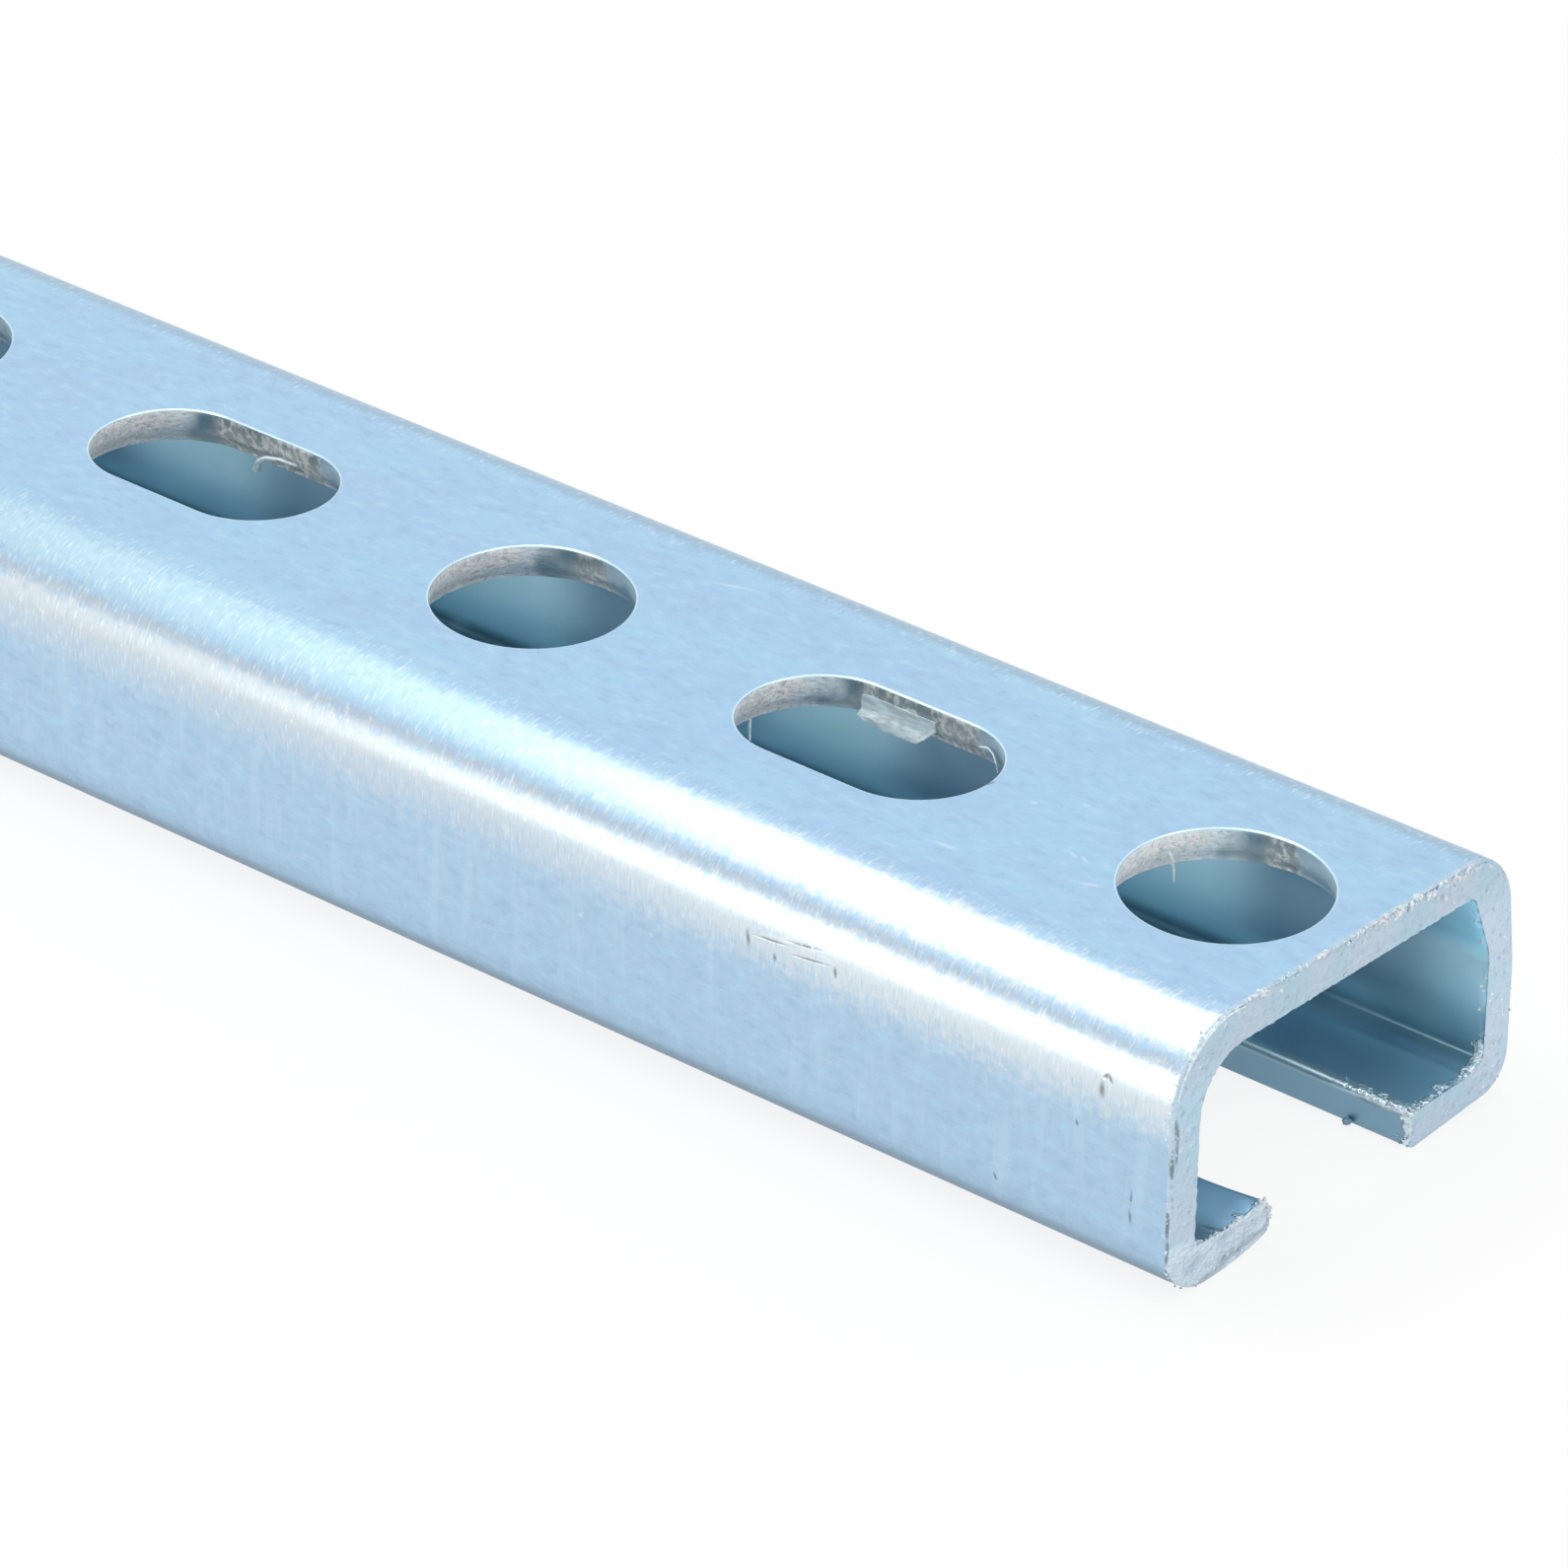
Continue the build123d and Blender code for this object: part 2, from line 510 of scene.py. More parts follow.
def zinc_plate(finish, sizes):
    """Zinc plate on the outside: soft mottling, burnished bends with painted highlight bands and fine streaks round
    them, painted shade on the far bend, between the bands and low down, a painted highlight on the hole rims, and
    small marks.
    """
    paint = Paint("zinc_plate_skin", finish.plate)
    product, ramp, band, coat = paint.product, paint.ramp, paint.band, paint.coat
    strip, reach, turn = unrolled(paint, sizes)
    fine = paint.noise(strip, (5, 1.1, 1), 3, 0.6, (0, 0, 0.1))
    broad = paint.noise(strip, (1.3, 0.35, 1), 3, 0.6, (0, 0, -0.12))
    streaks = product(paint.calc("ADD", fine, broad), 0.5)
    clouds = paint.noise(strip, (0.14, 0.25, 1), 3, 0.55)
    grain = paint.noise(strip, (1.6, 2.2, 1), 2, 0.5)
    mottle = paint.noise(strip, (0.7, 1.3, 1), 3, 0.6, (0, 0, 0.3))
    drips = paint.noise(strip, (0.9, 0.12, 1), 3, 0.55)
    coat(ramp(clouds, 0.38, 0.62), finish.haze)
    edges = product(ramp(paint.calc("ABSOLUTE", turn), 0.3, 0.1), ramp(grain, 0.4, 0.6, 0.2, 1.0))
    coat(product(ramp(clouds, 0.5, 0.36), edges), finish.pale)
    coat(ramp(turn, *degrees(40, 52)), finish.side)
    coat(ramp(grain, 0.35, 0.65, 0.0, 0.2), dimmed(finish.plate, 0.8))
    coat(ramp(mottle, 0.52, 0.68, 0.0, 0.75), finish.pale)
    coat(ramp(mottle, 0.46, 0.32, 0.0, 0.45), dimmed(finish.haze, 0.84))
    coat(product(ramp(drips, 0.5, 0.68, 0, 0.5), ramp(turn, *degrees(70, 89))), DRIPS)
    scratches = []
    for lean, thin, long, level in SCRATCHES:
        lines = paint.noise(strip, (1 / long, 1 / thin, 1), 1, 0.4, (0, 0, lean))
        scratches.append(ramp(lines, level, level + 0.08))
    coat(product(paint.largest(*scratches), 0.2), SCRATCHED)
    # The two bands of the web bend: plate rubbed paler, plus painted highlight that is brighter near the end, their
    # edges broken into streaks. On the far bend the upper one starts lower
    worn = paint.varied(paint.varied(turn, streaks, 0.6), grain, 0.45)
    far_side = ramp(paint.y, 0, 1)
    near_end = ramp(paint.x, 448, 482)
    upper = band(paint.calc("MULTIPLY_ADD", far_side, -0.6, worn), *degrees(2, 20, 40, 53))
    coat(upper, paint.mix(near_end, dimmed(finish.burnished, 0.93), dimmed(finish.rubbed, 0.92)))
    lower = band(worn, *degrees(52, 66, 82, 116))
    silver = paint.mix(ramp(turn, *degrees(74, 86)), dimmed(finish.rubbed, 0.84), BAND_FOOT)
    coat(lower, paint.mix(near_end, silver, finish.rubbed))
    # Painted shade dims the top of the far bend
    coat(product(far_side, band(turn, *degrees(0, 12, 40, 60)), 0.75), dimmed(finish.plate, 0.70))
    # A painted dark line of shade runs between the bands, and hair-fine streaks cross the whole bend
    gap_shade = band(paint.varied(turn, streaks, 0.3), *degrees(50, 54, 57, 62))
    coat(product(gap_shade, ramp(fine, 0.35, 0.6, 0.1, 0.5)), DARK_GAP_SHADE)
    hairs = paint.noise(strip, (7, 1.3, 1), 2, 0.5, (0, 0, 0.2))
    bend_part = band(turn, *degrees(-12, 4, 88, 118))
    coat(product(bend_part, ramp(hairs, 0.56, 0.68, 0, 0.4)), HAIR_STREAKS)
    coat(product(bend_part, ramp(hairs, 0.44, 0.34, 0, 0.3)), dimmed(finish.plate, 0.85))
    # Painted shade darkens the plate towards the foot of the rail
    coat(ramp(paint.z, 2.35, 1.2, 0, 0.95), RAIL_FOOT_SHADE)
    # A painted highlight runs along the rolled rims of the holes
    rim = product(
        ramp(paint.z, TOP - 0.002, TOP - 0.02),
        ramp(paint.calc("ABSOLUTE", reach), 7.2, 6.8),
        ramp(paint.calc("ABSOLUTE", paint.x), END - 0.6, END - 1),
    )
    coat(product(rim, 0.8), RIM_HIGHLIGHT)
    from_end = paint.mapped(strip, (1, 1, 1), shift=(-END, 0, 0))
    broken = ramp(paint.noise(strip, (3, 3, 1), 2, 0.6), 0.3, 0.45)
    dark = product(paint.strokes(from_end, DARK_MARKS), broken)
    coat(product(dark, 0.75), DARK_MARK)
    coat(product(paint.strokes(from_end, LIGHT_MARKS), 0.32), LIGHT_MARK)
    rough = paint.calc("ADD", ramp(grain, 0.3, 0.7, -0.03, 0.03), finish.roughness)
    return paint.done(rough, (streaks, 0.006), (grain, 0.003), (dark, -0.03))


def inside_plate(finish, sizes):
    """Thin teal plate inside the section with soft clouds, painted shade in slate beyond each hole, in the corners and
    low on the flanges, blue on the near lip, and a painted highlight along the far lip's edge.
    """
    paint = Paint("inside_plate", finish.inside)
    product, ramp, coat = paint.product, paint.ramp, paint.coat
    y, z = paint.y, paint.z
    along, across = paint.calc("ABSOLUTE", paint.x), paint.calc("ABSOLUTE", y)
    clouds = paint.noise(paint.at, (180, 260, 260), 2, 0.5)
    lines = paint.noise(paint.at, (300, 4000, 4000), 2, 0.5)
    coat(ramp(clouds, 0.35, 0.65), finish.inside_blue)
    # Painted shade: slate beyond each hole, where the light through the holes falls off
    from_hole = paint.calc("SUBTRACT", paint.x, END - sizes.end_distance / MM - 13)
    wave = paint.calc("COSINE", product(from_hole, math.tau * MM / sizes.pitch))
    beyond = product(ramp(wave, 0.85, -0.6), ramp(z, 3.5, 5), ramp(along, END - 1, END - 9, 0.75, 1.0))
    coat(beyond, finish.inside_slate)
    coat(ramp(z, 3.2, 2.8), LIP_TOP)
    coat(product(ramp(across, 6.3, 6.1), ramp(z, 2.3, 2.0)), finish.inside_slate)
    # The near lip is a deeper blue, with painted shade darkening it towards its corner with the flange
    blue = paint.mix(ramp(across, 8.5, 11.2), dimmed(finish.lip_blue, 0.8), dimmed(finish.lip_blue, 0.29))
    coat(product(ramp(y, 0, -1), ramp(z, 4.5, 3.2)), blue)
    # Painted shade in the inside corners, away from the end
    corner = product(ramp(across, 10.2, 11.3), ramp(z, 3.7, 2.9), ramp(clouds, 0.2, 0.4))
    corner = product(corner, ramp(along, END - 4, END - 12, 0.0, 0.8))
    coat(corner, LIP_CORNER_SHADE)
    # Painted shade low on the inside of the flanges, strongest near the end
    foot_shade = product(ramp(across, 10.8, 11.4), ramp(z, 6.5, 3.6, 0, 0.5), ramp(along, END - 10, END - 5, 0.1, 1))
    coat(foot_shade, dimmed(finish.inside, 0.4))
    # A painted highlight runs along the far lip's edge, and both lips end in ragged bright metal
    coat(product(ramp(across, 6.7, 6.2), ramp(z, 1.7, 2.2), ramp(y, 0, 1), 0.6), LIP_EDGE_HIGHLIGHT)
    torn = paint.noise(paint.at, 1500, 3, 0.6)
    ends = paint.calc("SUBTRACT", paint.varied(along, torn, 2.4), ramp(y, 0, -1, 0, 0.35))
    ends = product(ramp(ends, END - 0.6, END - 0.45), ramp(z, 4.2, 3.2))
    edge = product(ramp(y, 0, 1), ramp(paint.varied(across, torn, -2.6), 6.5, 6.3))
    edge = product(edge, ramp(along, END - 6, END - 2), ramp(z, 1.7, 2.1))
    ragged = paint.largest(ends, edge)
    coat(ragged, RAGGED)
    rough = paint.calc("MULTIPLY_ADD", corner, 0.35, ramp(clouds, 0.3, 0.7, 0.42, 0.34))
    return paint.done(rough, (lines, 0.006), (clouds, 0.04), (product(ragged, torn), 0.35))


def sheared_end(finish):
    """Plate over the sheared end: lumpy, with bright specks, and dark pits along the edge of the near flange."""
    paint = Paint("sheared_end", finish.cut)
    product, ramp, coat = paint.product, paint.ramp, paint.coat
    y, z = paint.y, paint.z
    lumps = paint.noise(paint.at, 1700, 3, 0.6)
    coat(ramp(paint.noise(paint.at, 300, 2, 0.5), 0.35, 0.65), finish.cut_blue)
    coat(ramp(lumps, 0.40, 0.26, 0, 0.5), dimmed(finish.cut, 0.45))
    coat(ramp(lumps, 0.66, 0.72), SPECKS)
    coat(ramp(z, 11, 13.5, 0, 0.22), dimmed(finish.cut, 0.6))
    # The near lip's end is rough and silvery, with a groove low along it
    lip = product(ramp(y, -5, -5.5), ramp(z, 3.6, 2.6))
    rough_lumps = paint.noise(paint.at, (1, 900, 1400), 4, 0.65)
    coat(product(lip, 0.75), paint.mix(ramp(rough_lumps, 0.35, 0.62), finish.cut, LIP_SILVER))
    level = paint.varied(paint.calc("MULTIPLY_ADD", y, -0.16, z), rough_lumps, 1.2)
    groove = product(lip, paint.band(level, 1.85, 2.05, 2.15, 2.4), 0.4)
    face = paint.add("CombineXYZ", {0: y, 1: z})[0]
    broken = ramp(paint.noise(paint.at, (1, 5000, 2600), 3, 0.6), 0.38, 0.5)
    pits = product(paint.strokes(face, PITS), broken)
    coat(paint.largest(product(pits, 0.85), groove), PIT)
    return paint.done(
        ramp(lumps, 0.3, 0.7, 0.5, 0.3), (lumps, 0.16), (pits, -0.12), (product(lip, rough_lumps), 0.3)
    )


def punched_wall():
    """The torn wall of a hole, its light and shade painted by the way it faces: silver lumps as painted light where it
    faces the near end, then painted shade in blue-grey, then plain grey.
    """
    paint = Paint("punched_wall")
    product, ramp, coat = paint.product, paint.ramp, paint.coat
    facing = paint.add("SeparateXYZ", {0: paint.coords["Normal"]})[0]
    blotches = paint.noise(paint.at, (2600, 2600, 1700), 3, 0.6)
    broad = paint.noise(paint.at, (450, 450, 250), 2, 0.5)
    fine = product(paint.noise(paint.at, (3200, 3200, 4200), 3, 0.6), ramp(facing, 0.35, 0.6, 0.25, 1.0))
    leaning = paint.varied(facing, broad, 0.5)
    paint.colour = paint.mix(ramp(blotches, 0.35, 0.65), *WALL_LILAC)
    # Painted light: silver where the wall faces the near end
    coat(ramp(leaning, 0.68, 0.80), paint.mix(ramp(blotches, 0.58, 0.38), *WALL_LIT_SILVER))
    coat(product(ramp(fine, 0.46, 0.34), ramp(facing, 0.45, 0.6, 0, 0.55)), WALL_FLECKS)
    # Painted shade: blue-grey, then grey, as the wall turns away from the near end
    coat(ramp(leaning, 0.64, 0.38), paint.mix(ramp(broad, 0.4, 0.6), *WALL_SHADED_SLATE))
    coat(ramp(facing, 0.42, 0.12), paint.mix(ramp(broad, 0.4, 0.6), *WALL_SHADED_GREY))
    coat(product(ramp(blotches, 0.42, 0.66), paint.band(facing, 0.3, 0.12, -0.12, -0.2)), WALL_TORN)
    # Painted light and shade again, bluer and then paler, where the wall faces away from the end
    coat(ramp(facing, -0.03, -0.16), WALL_NEAR)
    coat(ramp(facing, -0.3, -0.7), WALL_AWAY)
    metallic = ramp(facing, 0.3, 0.6, 0.5, 0.0)
    return paint.done(ramp(blotches, 0.3, 0.7, 0.28, 0.42), (blotches, 0.03), (fine, 0.15), metallic=metallic)


# The rail


def draw_section(sizes):
    """The whole C section as one flat face with sharp corners, at the rail's middle and square to X."""
    bpy.ops.mesh.primitive_plane_add(size=sizes.wall, location=(0, 0, sizes.height))
    bpy.ops.mesh.merge(type="CENTER")
    outline = [(-y, z) for y, z, _ in NEAR_SIDE]
    outline += [(0, (sizes.height - sizes.wall) / MM)] + [(y, z) for y, z, _ in reversed(FAR_SIDE)]
    before = (0, sizes.height / MM)
    for y, z in outline:
        extrude((0, (y - before[0]) * MM, (z - before[1]) * MM))
        before = (y, z)
    pick_all()
    bpy.ops.mesh.edge_face_add()


def bevel(width, segments, **settings):
    bpy.ops.mesh.bevel(
        affect="EDGES", offset_type="OFFSET", offset=width, segments=segments, profile=0.5, **settings
    )


def round_corners():
    """Bevels the long edges of the sharp section, each to its own radius."""
    for side, corners in ((-1, NEAR_SIDE), (1, FAR_SIDE)):
        ring = [(0, corners[0][1]), *[corner[:2] for corner in corners], (0, corners[-1][1])]
        for before, (y, z, radius), after in zip(ring, corners, ring[2:]):
            ways = [Vector((other[0] - y, other[1] - z)) for other in (before, after)]
            opening = ways[0].angle(ways[1])
            at = (side * y * MM, z * MM)
            pick(
                "EDGE",
                lambda e: abs(e.verts[0].co.x - e.verts[1].co.x) > MM
                and near(middle(e).y, at[0], 1e-5)
                and near(middle(e).z, at[1], 1e-5),
            )
            steps = max(4, round(5 * math.sqrt(radius) * (math.pi - opening)))
            bevel(radius * MM / math.tan(opening / 2), steps, clamp_overlap=False)


def roll_end(sizes):
    """Rounds the outside edge of the end over, as the shear leaves it."""
    last = sizes.length / 2 - 0.01 * MM
    pick(
        "EDGE",
        lambda e: all(v.co.x > last for v in e.verts) and is_outside(middle(e)) and not is_inside(middle(e)),
    )
    bevel(sizes.end_roll, 3)


# How deep the cross lines of the end's grid lie, and the distance between its other lines, in millimetres
GRID_DEPTHS = (1.2, 0.85, 0.58, 0.38, 0.23, 0.12)
GRID_STEP = 0.25


def shear_end(sizes):
    """Lays a fine grid over the end and the last of the sides."""
    end, step = sizes.length / 2, GRID_STEP * MM
    for depth in GRID_DEPTHS:
        pick_all()
        cut((end - depth * MM, 0, 0), (1, 0, 0))
    for low, high, facing in (
        (-sizes.width / 2, sizes.width / 2, Vector((0, 1, 0))),
        (0, sizes.height, Vector((0, 0, 1))),
    ):
        for number in range(1, int((high - low) / step)):
            pick("FACE", lambda f: f.calc_center_median().x > end - GRID_DEPTHS[0] * MM)
            cut(facing * (low + number * step), facing)


# The near lip's lift: its folds across, its extra cross lines and the share of the turn beyond each depth, in
# millimetres, and the turn at each fold
LIP_FOLDS = (-9.8, -9.0, -8.2, -7.4)
LIP_LINES = (5, 3.7, 2.4)
LIP_SHARES = ((4.4, 0.08), (3.0, 0.22), (1.8, 0.32), (1.0, 0.1), (0.7, 0.08), (0.48, 0.07), (0.3, 0.07), (0.18, 0.06))
LIP_TURN = math.radians(2.8)
LIP_ABOVE = 3.5 * MM


def lift_lip(sizes):
    """Bends the near lip up towards the end, where the shear dragged it, in four folds along it."""
    end = sizes.length / 2
    folds = [fold * MM for fold in LIP_FOLDS]
    for depth in LIP_LINES:
        pick_all()
        cut((end - depth * MM, 0, 0), (1, 0, 0))
    for fold in folds:
        pick(
            "FACE",
            lambda f: f.calc_center_median().x > end - LIP_LINES[0] * MM and f.calc_center_median().z < LIP_ABOVE,
        )
        cut((0, fold, 0), (0, 1, 0))
    for fold in folds:
        for depth, share in LIP_SHARES:
            pick("VERT", lambda v: v.co.x > end - depth * MM and fold < v.co.y < -5 * MM and v.co.z < LIP_ABOVE)
            turn_about("X", -LIP_TURN * share, (end, fold, 1.3 * MM))


# The shares of the breakout, each with the height in millimetres above the underside where it starts
BREAKOUT_STEPS = ((0.05, 1.8), (0.08, 1.5), (0.12, 1.2), (0.2, 0.9), (0.25, 0.6), (0.2, 0.3), (0.1, 0.05))
PUNCH_SIDES = 80
PUNCH_OVAL = 0.03
ROLL_STEPS = 4
ROLL_SPREAD = 1.6
ROLL_LEAN = Vector((0.03, -0.05, 0)) * MM


def make_punch(sizes, is_round, at_x, copies):
    """The punches for one kind of hole: closed plugs, flared at the top as a punch rolls the rim over."""
    punch = start_mesh("punch")
    radius = (sizes.round_diameter if is_round else sizes.slot_width) / 2
    roll = sizes.rim_roll
    top, below = sizes.height - roll, sizes.height - sizes.wall - 1 * MM
    centre = Vector((at_x, sizes.row_shift, 0))
    place = Vector((at_x, sizes.row_shift, (top + below) / 2))
    bpy.ops.mesh.primitive_cylinder_add(
        vertices=PUNCH_SIDES, radius=radius, depth=top - below, location=place, end_fill_type="NGON"
    )
    pick("EDGE", lambda e: abs(e.verts[0].co.z - e.verts[1].co.z) > MM)
    bpy.ops.mesh.subdivide(number_cuts=10)
    if is_round:
        # The punch is worn a little oval, with its long way across from the near side to the far one
        pick_all()
        resize((1 + PUNCH_OVAL, 1 - PUNCH_OVAL, 1), centre)
        turn_about("Z", math.radians(45), centre)
    # The hole widens downwards where the sheet broke out under the punch
    for share, height in BREAKOUT_STEPS:
        pick("VERT", lambda v: v.co.z < sizes.height - sizes.wall + height * MM)
        wider = (radius + share * sizes.breakout) / radius
        resize((wider, wider, 1), centre)
    # The rim is rolled over more on the near side than on the far one
    angles = [math.pi / 2 * step / ROLL_STEPS for step in range(ROLL_STEPS + 1)]
    rims = [radius + ROLL_SPREAD * roll * (1 - math.cos(angle)) for angle in angles]
    for number in range(ROLL_STEPS):
        before, after = angles[number : number + 2]
        pick("FACE", lambda f: near(f.calc_center_median().z, top) and f.normal.z > 0.9)
        rise = roll * (math.sin(after) - math.sin(before))
        extrude((0, 0, rise))
        grown = rims[number + 1] / rims[number]
        resize((grown, grown, 1), (at_x, sizes.row_shift, top))
        shift(ROLL_LEAN * (math.cos(before) - math.cos(after)))
        top += rise
    extrude((0, 0, 1 * MM))
    if not is_round:
        spread = (sizes.slot_length - sizes.slot_width) / 2
        for side in (1, -1):
            pick("VERT", lambda v: (v.co.x - at_x) * side > 1e-7)
            shift((side * spread, 0, 0))
        pick("EDGE", lambda e: abs(e.verts[0].co.x - e.verts[1].co.x) > spread)
        bpy.ops.mesh.subdivide(number_cuts=14)
    pick_all()
    for _ in range(copies - 1):
        bpy.ops.mesh.duplicate_move(TRANSFORM_OT_translate={"value": (-2 * sizes.pitch, 0, 0)})
    torn, rolled = sizes.height - 0.3 * sizes.wall, sizes.height - roll - 1e-5
    weigh(punch, "torn", ((1.0, lambda v: v.co.z < torn), (0.3, lambda v: torn <= v.co.z < rolled)))
    end_edit()
    roughen(punch, "torn", 0.5 * MM, sizes.tear, 0.5)
    return punch


# How much of the crumbling there is on the end's outline, on its face and outside, and at depths in millimetres
CRUMBLE_OUTLINE, CRUMBLE_FACE, CRUMBLE_OUTSIDE = 0.7, 0.35, 0.15
CRUMBLE_SHARES = ((0.12, 0.75), (0.23, 0.5), (0.38, 0.3), (0.58, 0.14))


class RAIL_OT_channel(bpy.types.Operator):
    """Roll the C section, shear its ends and punch its row of holes"""

    bl_idname = "rail.channel"
    bl_label = "Rolled channel"

    def execute(self, context):
        sizes, finish = context.scene.rail_sizes, context.scene.rail_finish
        end = sizes.length / 2
        rail = start_mesh("rail")
        draw_section(sizes)
        extrude((end, 0, 0))
        pick_all()
        bpy.ops.mesh.normals_make_consistent(inside=False)
        round_corners()
        roll_end(sizes)
        shear_end(sizes)
        lift_lip(sizes)
        pick("FACE", lambda f: near(f.calc_center_median().x, 0))
        bpy.ops.mesh.delete(type="FACE")
        end_edit()
        apply_modifier(rail, "MIRROR", use_axis=(True, False, False), merge_threshold=1e-6)
        skin, wall_mat = zinc_plate(finish, sizes), punched_wall()
        for mat in (skin, inside_plate(finish, sizes), sheared_end(finish), wall_mat):
            rail.data.materials.append(mat)
        for face in rail.data.polygons:
            c = face.center / MM
            if abs(face.normal.x) > 0.25 and abs(face.center.x) > end - 0.3 * MM:
                face.material_index = 2
            elif 0.9 < c.z < 13.1 and abs(c.y) < 12 or abs(c.y) < 6.4 and abs(face.normal.y) > 0.4:
                face.material_index = 1
        bpy.ops.object.mode_set(mode="EDIT")
        last = end - 0.01 * MM
        weights = [(CRUMBLE_FACE, lambda v: abs(v.co.x) > last)]
        for deep, weight in CRUMBLE_SHARES:
            weights.append((weight, lambda v, deep=deep: near(abs(v.co.x), end - deep * MM)))
        weights.append((CRUMBLE_OUTLINE, lambda v: abs(v.co.x) > last and on_edge(v)))
        side_end = end - 0.6 * MM
        weights.append(
            (CRUMBLE_OUTSIDE, lambda v: is_outside(v.co) and abs(v.co.x) > side_end and v.co.z < 14.2 * MM)
        )
        weigh(rail, "crumbled", weights)
        places = hole_places(sizes)
        for at_x, _ in places[1:]:
            pick_all()
            cut((at_x + sizes.pitch / 2, 0, 0), (1, 0, 0))
        end_edit()
        roughen(rail, "crumbled", 0.3 * MM, sizes.crumble, 1.0)
        punches = []
        for kind in (True, False):
            alike = [at_x for at_x, is_round in places if is_round == kind]
            punches.append(make_punch(sizes, kind, alike[0], len(alike)))
        for punch in punches:
            for mat in (wall_mat, skin):
                punch.data.materials.append(mat)
            for face in punch.data.polygons:
                face.material_index = int(face.center.z > sizes.height - sizes.rim_roll)
            punch.select_set(True)
        bpy.ops.object.join()
        punch = context.object
        apply_modifier(rail, "BOOLEAN", object=punch, operation="DIFFERENCE", solver="EXACT", material_mode="TRANSFER")
        bpy.data.objects.remove(punch)

        bpy.ops.object.select_all(action="DESELECT")
        rail.select_set(True)
        context.view_layer.objects.active = rail
        bpy.ops.object.shade_smooth_by_angle(angle=math.radians(32))
        apply_modifier(rail, "WEIGHTED_NORMAL", mode="FACE_AREA", weight=50, keep_sharp=True)
        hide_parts("channel")
        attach(rail, "root")
        return {"FINISHED"}


# Crumbs and burrs


def plain_zinc(name, colour, roughness):
    """Broken zinc with a fine grain, not metallic, with painted shade where it hangs under the rail."""
    paint = Paint(name)
    grain = paint.noise(paint.at, (1200, 5000, 5000), 2, 0.5, (0, 0.3, 0))
    paint.colour = paint.mix(paint.ramp(grain, 0.3, 0.7), dimmed(colour, 0.7), colour)
    # Painted shade on crumbs low under the rail
    paint.coat(paint.ramp(paint.z, 1.0, 0.7), UNDERSIDE_SHADE)
    return paint.done(roughness, (grain, 0.01), metallic=0.0)


def make_lump(seed):
    """One crumb about a millimetre across, which is copied and shrunk into place."""
    lump = start_mesh("lump")
    bpy.ops.mesh.primitive_uv_sphere_add(segments=7, ring_count=5, radius=0.5 * MM, location=(0, 0, 0))
    bpy.ops.transform.vertex_random(offset=0.34 * MM, uniform=0.3, normal=0.5, seed=seed)
    bpy.ops.mesh.vertices_smooth(factor=0.5)
    resize((1.3, 1.0, 0.6), (0, 0, 0))
    end_edit()
    return lump


def scatter(name, lumps, places, finish):
    """Copies the lumps to (place, size), each turned and stretched at random, as one piece. Sizes in millimetres."""
    rng = random.Random(len(places))
    copies = []
    for index, (place, size) in enumerate(places):
        lump = lumps[index % len(lumps)]
        copy = lump.copy()
        copy.data = lump.data.copy()
        bpy.context.collection.objects.link(copy)
        copy.rotation_euler = [rng.uniform(0, math.tau) for _ in range(3)]
        copy.scale = [size * rng.uniform(0.75, 1.25) for _ in range(3)]
        reach = 0.25 * size * MM
        copy.location = [min(max(at, low + reach), high - reach) for at, low, high in zip(place, LOW, HIGH)]
        copy.location.z = max(copy.location.z, 0.6 * size * MM)
        copies.append(copy)
    bpy.ops.object.select_all(action="DESELECT")
    for copy in copies:
        copy.select_set(True)
    bpy.context.view_layer.objects.active = copies[0]
    bpy.ops.object.join()
    piece = bpy.context.object
    piece.name = piece.data.name = name
    bpy.ops.object.transform_apply(location=True, rotation=True, scale=True)
    bpy.ops.object.shade_smooth_by_angle(angle=math.radians(75))
    piece.data.materials.append(finish)
    return piece


def outline_places(rail, index, along):
    """Vertices on one end's outline, where the cut meets the faces of one material."""
    cut_end, sides = set(), set()
    for face in rail.data.polygons:
        if face.center.x * along > HIGH.x - 1 * MM:
            if face.material_index == 2:
                cut_end.update(face.vertices)
            elif face.material_index == index:
                sides.update(face.vertices)
    return [rail.data.vertices[number].co for number in sorted(cut_end & sides)]


# The largest crumbs on a cut end: place across and up, and size, in millimetres
BIG_CRUMBS = (
    (-9.15, 14.7, 0.32), (-7.3, 14.85, 0.4), (-6.7, 14.75, 0.3), (-3.7, 14.85, 0.24), (-2.4, 14.85, 0.26),
    (0.4, 14.8, 0.38), (1.0, 14.3, 0.3), (1.9, 14.6, 0.36), (2.7, 14.6, 0.42), (3.7, 14.55, 0.46), (4.0, 14.7, 0.3),
    (4.8, 14.75, 0.44), (5.3, 14.85, 0.42), (6.3, 14.6, 0.4), (7.0, 14.1, 0.3), (7.1, 14.75, 0.36), (7.6, 13.9, 0.42),
    (8.4, 13.3, 0.26), (8.5, 14.75, 0.32), (9.1, 13.7, 0.32), (9.5, 14.7, 0.44), (11.4, 14.1, 0.46),
    (11.3, 12.7, 0.26), (12.9, 9.4, 0.3), (13.4, 8.4, 0.32), (12.0, 8.2, 0.22), (12.2, 6.4, 0.24), (13.1, 5.7, 0.3),
    (12.4, 3.3, 0.28),
)
# The crumbs along the top of a cut end: between which places across, in millimetres, and how many
TOP_CRUMBS = ((-11, 0, 16), (-3, 4, 22), (2, 10.5, 55))
# The drop under the far lip: how far from the end, across and up, and its size, in millimetres
DROP_PLACE, DROP_SIZE = (3.87, 5.7, 0.15), 0.5


